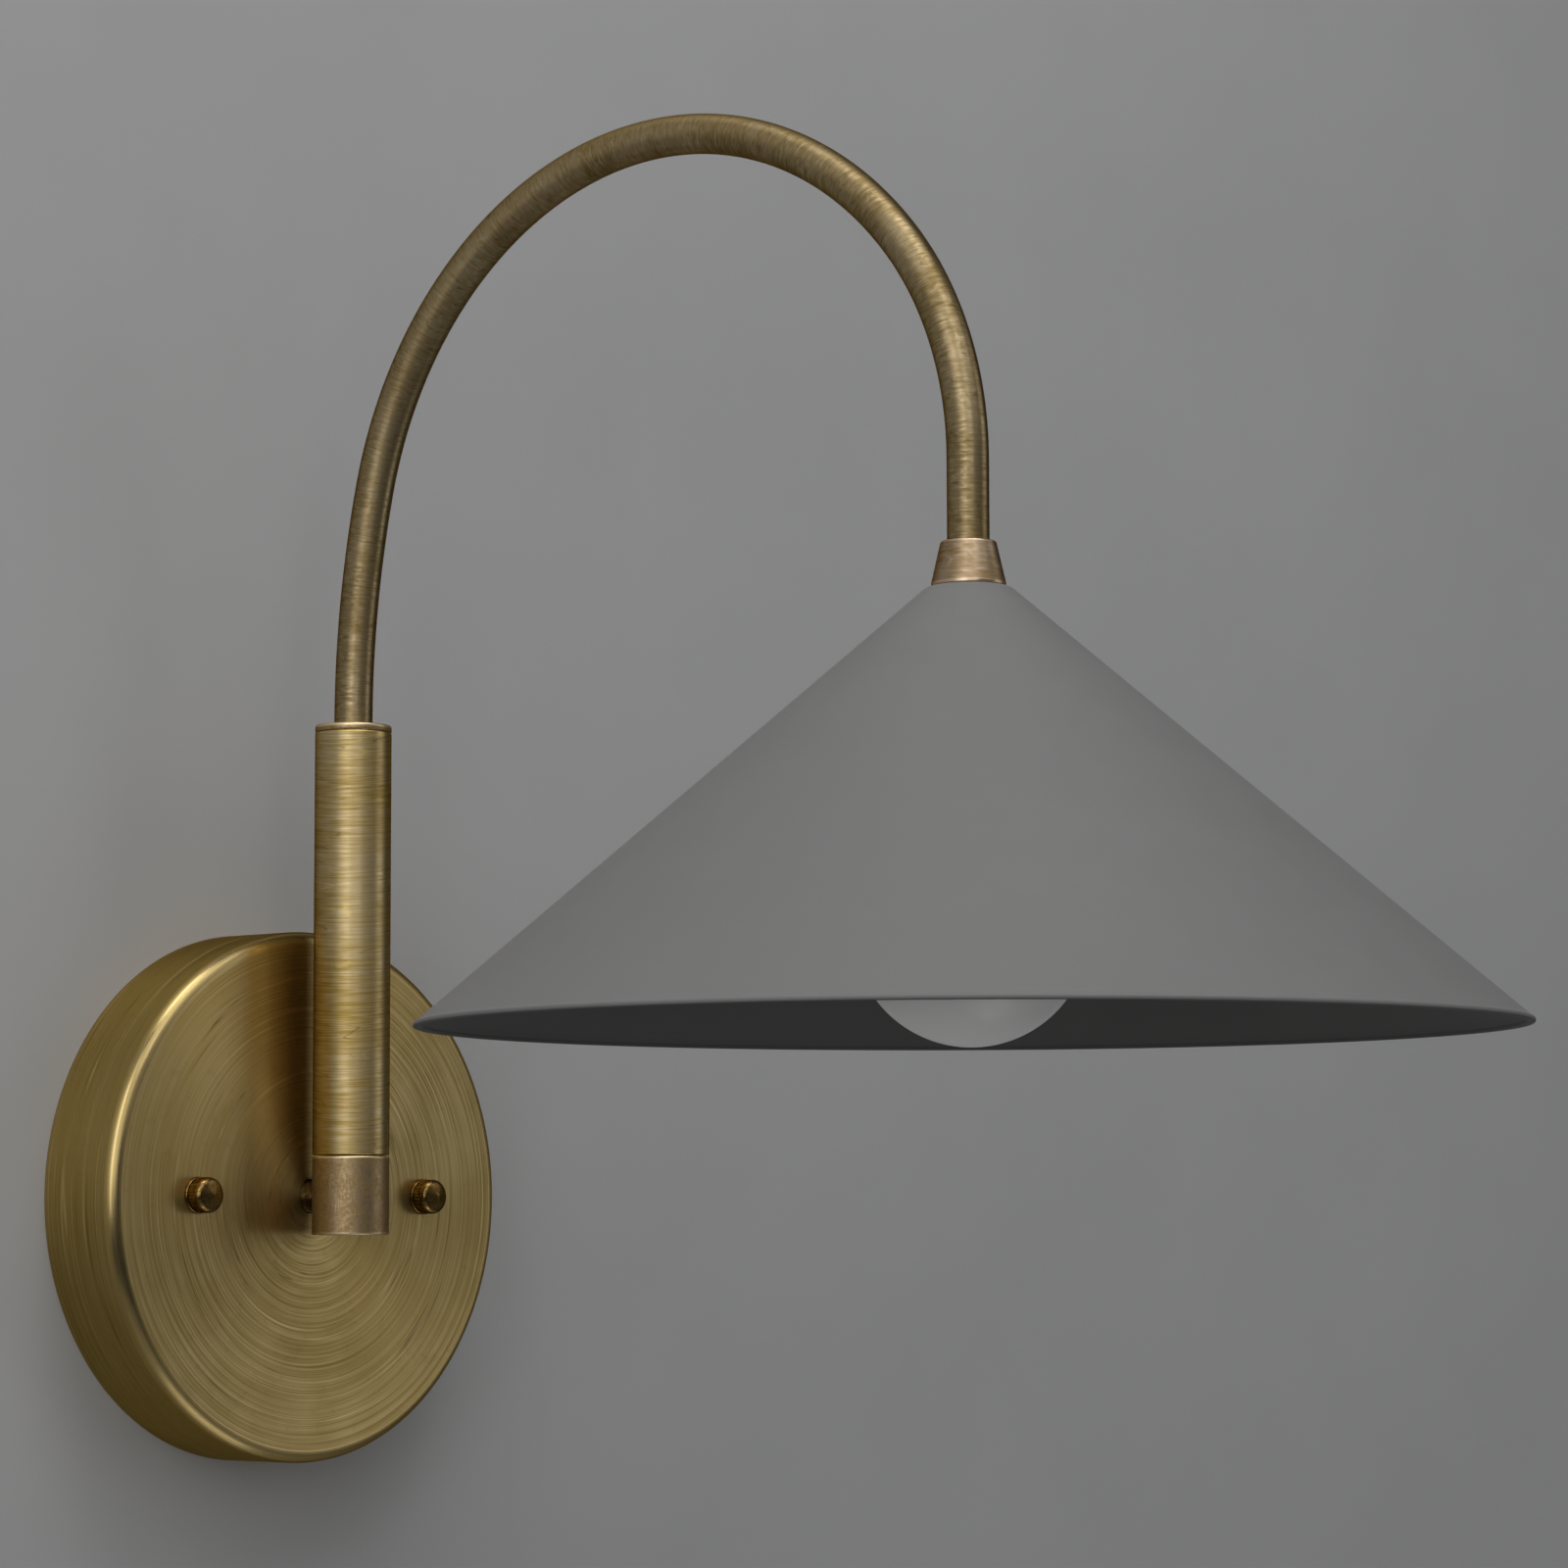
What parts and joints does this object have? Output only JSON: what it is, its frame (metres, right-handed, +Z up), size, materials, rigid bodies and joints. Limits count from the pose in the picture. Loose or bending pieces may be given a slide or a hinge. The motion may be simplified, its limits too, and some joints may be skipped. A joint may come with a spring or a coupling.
{
  "type": "gooseneck wall sconce",
  "caption": "Wall sconce with a round canopy, a short swivelling column, an arched gooseneck arm and a wide cone shade over a globe bulb.",
  "frame": {"origin": "centre of the mounting plate's back face, on the wall", "axes": "+Z up, +Y into the wall (the sconce stands out towards -Y), +X to the right as seen from the room"},
  "size_m": [0.2854, 0.4126, 0.3708],
  "materials": {
    "antique_brass_canopy": "antique brushed, spun rings",
    "antique_brass_column": "antique brushed",
    "antique_brass_arm": "aged, cross brushed",
    "dark_bronze": "dark antique",
    "shade_grey": "matte grey outside, charcoal inside",
    "opal_glass": "frosted opal, unlit",
    "zinc_steel": "zinc plated",
    "plain_brass": "bright turned",
    "bulb_aluminium": "satin",
    "porcelain": "glazed porcelain",
    "lamp_insulator": "black vitrite",
    "block_plastic": "moulded",
    "board_white": "lacquered board",
    "cable_sheath": "smooth sheath",
    "lead_black": "smooth sheath",
    "lead_white": "smooth sheath",
    "lead_earth": "smooth sheath"
  },
  "bodies": {
    "wall_base": {"canopy": "antique_brass_canopy", "mounting_plate": "zinc_steel", "canopy_studs": "zinc_steel", "stud_locknuts": "zinc_steel", "cap_nut_washers": "dark_bronze", "cap_nuts": "dark_bronze", "standoff_nipple": "dark_bronze", "standoff_washer": "zinc_steel", "standoff_locknut": "zinc_steel", "terminal_block": "block_plastic", "terminal_clamp_screws": "plain_brass", "block_screw": "zinc_steel", "earth_screw": "plain_brass", "earth_ring_terminal": "plain_brass", "live_lead": "lead_black", "neutral_lead": "lead_white", "earth_lead": "lead_earth", "coupling": "antique_brass_column", "swivel_stud": "zinc_steel", "swivel_washer": "zinc_steel", "swivel_locknut": "zinc_steel"},
    "arm": {"column": "antique_brass_column", "column_plug": "plain_brass", "column_cap": "antique_brass_column", "gooseneck": "antique_brass_arm", "arm_cable": "cable_sheath", "ferrule": "antique_brass_arm", "shade_nipple": "zinc_steel", "shade": "shade_grey", "shade_washer": "zinc_steel", "shade_locknut": "zinc_steel", "socket_cap": "antique_brass_column", "socket_body": "porcelain", "socket_screw_shell": "plain_brass", "socket_centre_contact": "plain_brass", "socket_terminal_screws": "plain_brass", "holder_live_lead": "lead_black", "holder_neutral_lead": "lead_white"},
    "bulb_travel": {"bulb_foot_contact": "plain_brass"},
    "bulb": {"bulb_insulator": "lamp_insulator", "bulb_base_shell": "bulb_aluminium", "bulb_globe": "opal_glass", "bulb_light_board": "board_white"}
  },
  "joints": [
    {"name": "arm_swing", "type": "hinge", "parent": "wall_base", "child": "arm", "pos_m": [0, -0.044, 0.0113], "axis": [0, 0, 1], "range_deg": [-60, 60]},
    {"name": "bulb_slide", "type": "slide", "parent": "arm", "child": "bulb_travel", "axis": [0, 0, -1], "range_m": [0, 0.025]},
    {"name": "bulb_turn", "type": "hinge", "parent": "bulb_travel", "child": "bulb", "pos_m": [0, -0.26988, 0.1], "axis": [0, 0, -1], "range_deg": [0, 2478]}
  ],
  "couplings": [
    {"joint": "bulb_slide", "follows": "bulb_turn", "m_per_rad": 0.0005776}
  ]
}
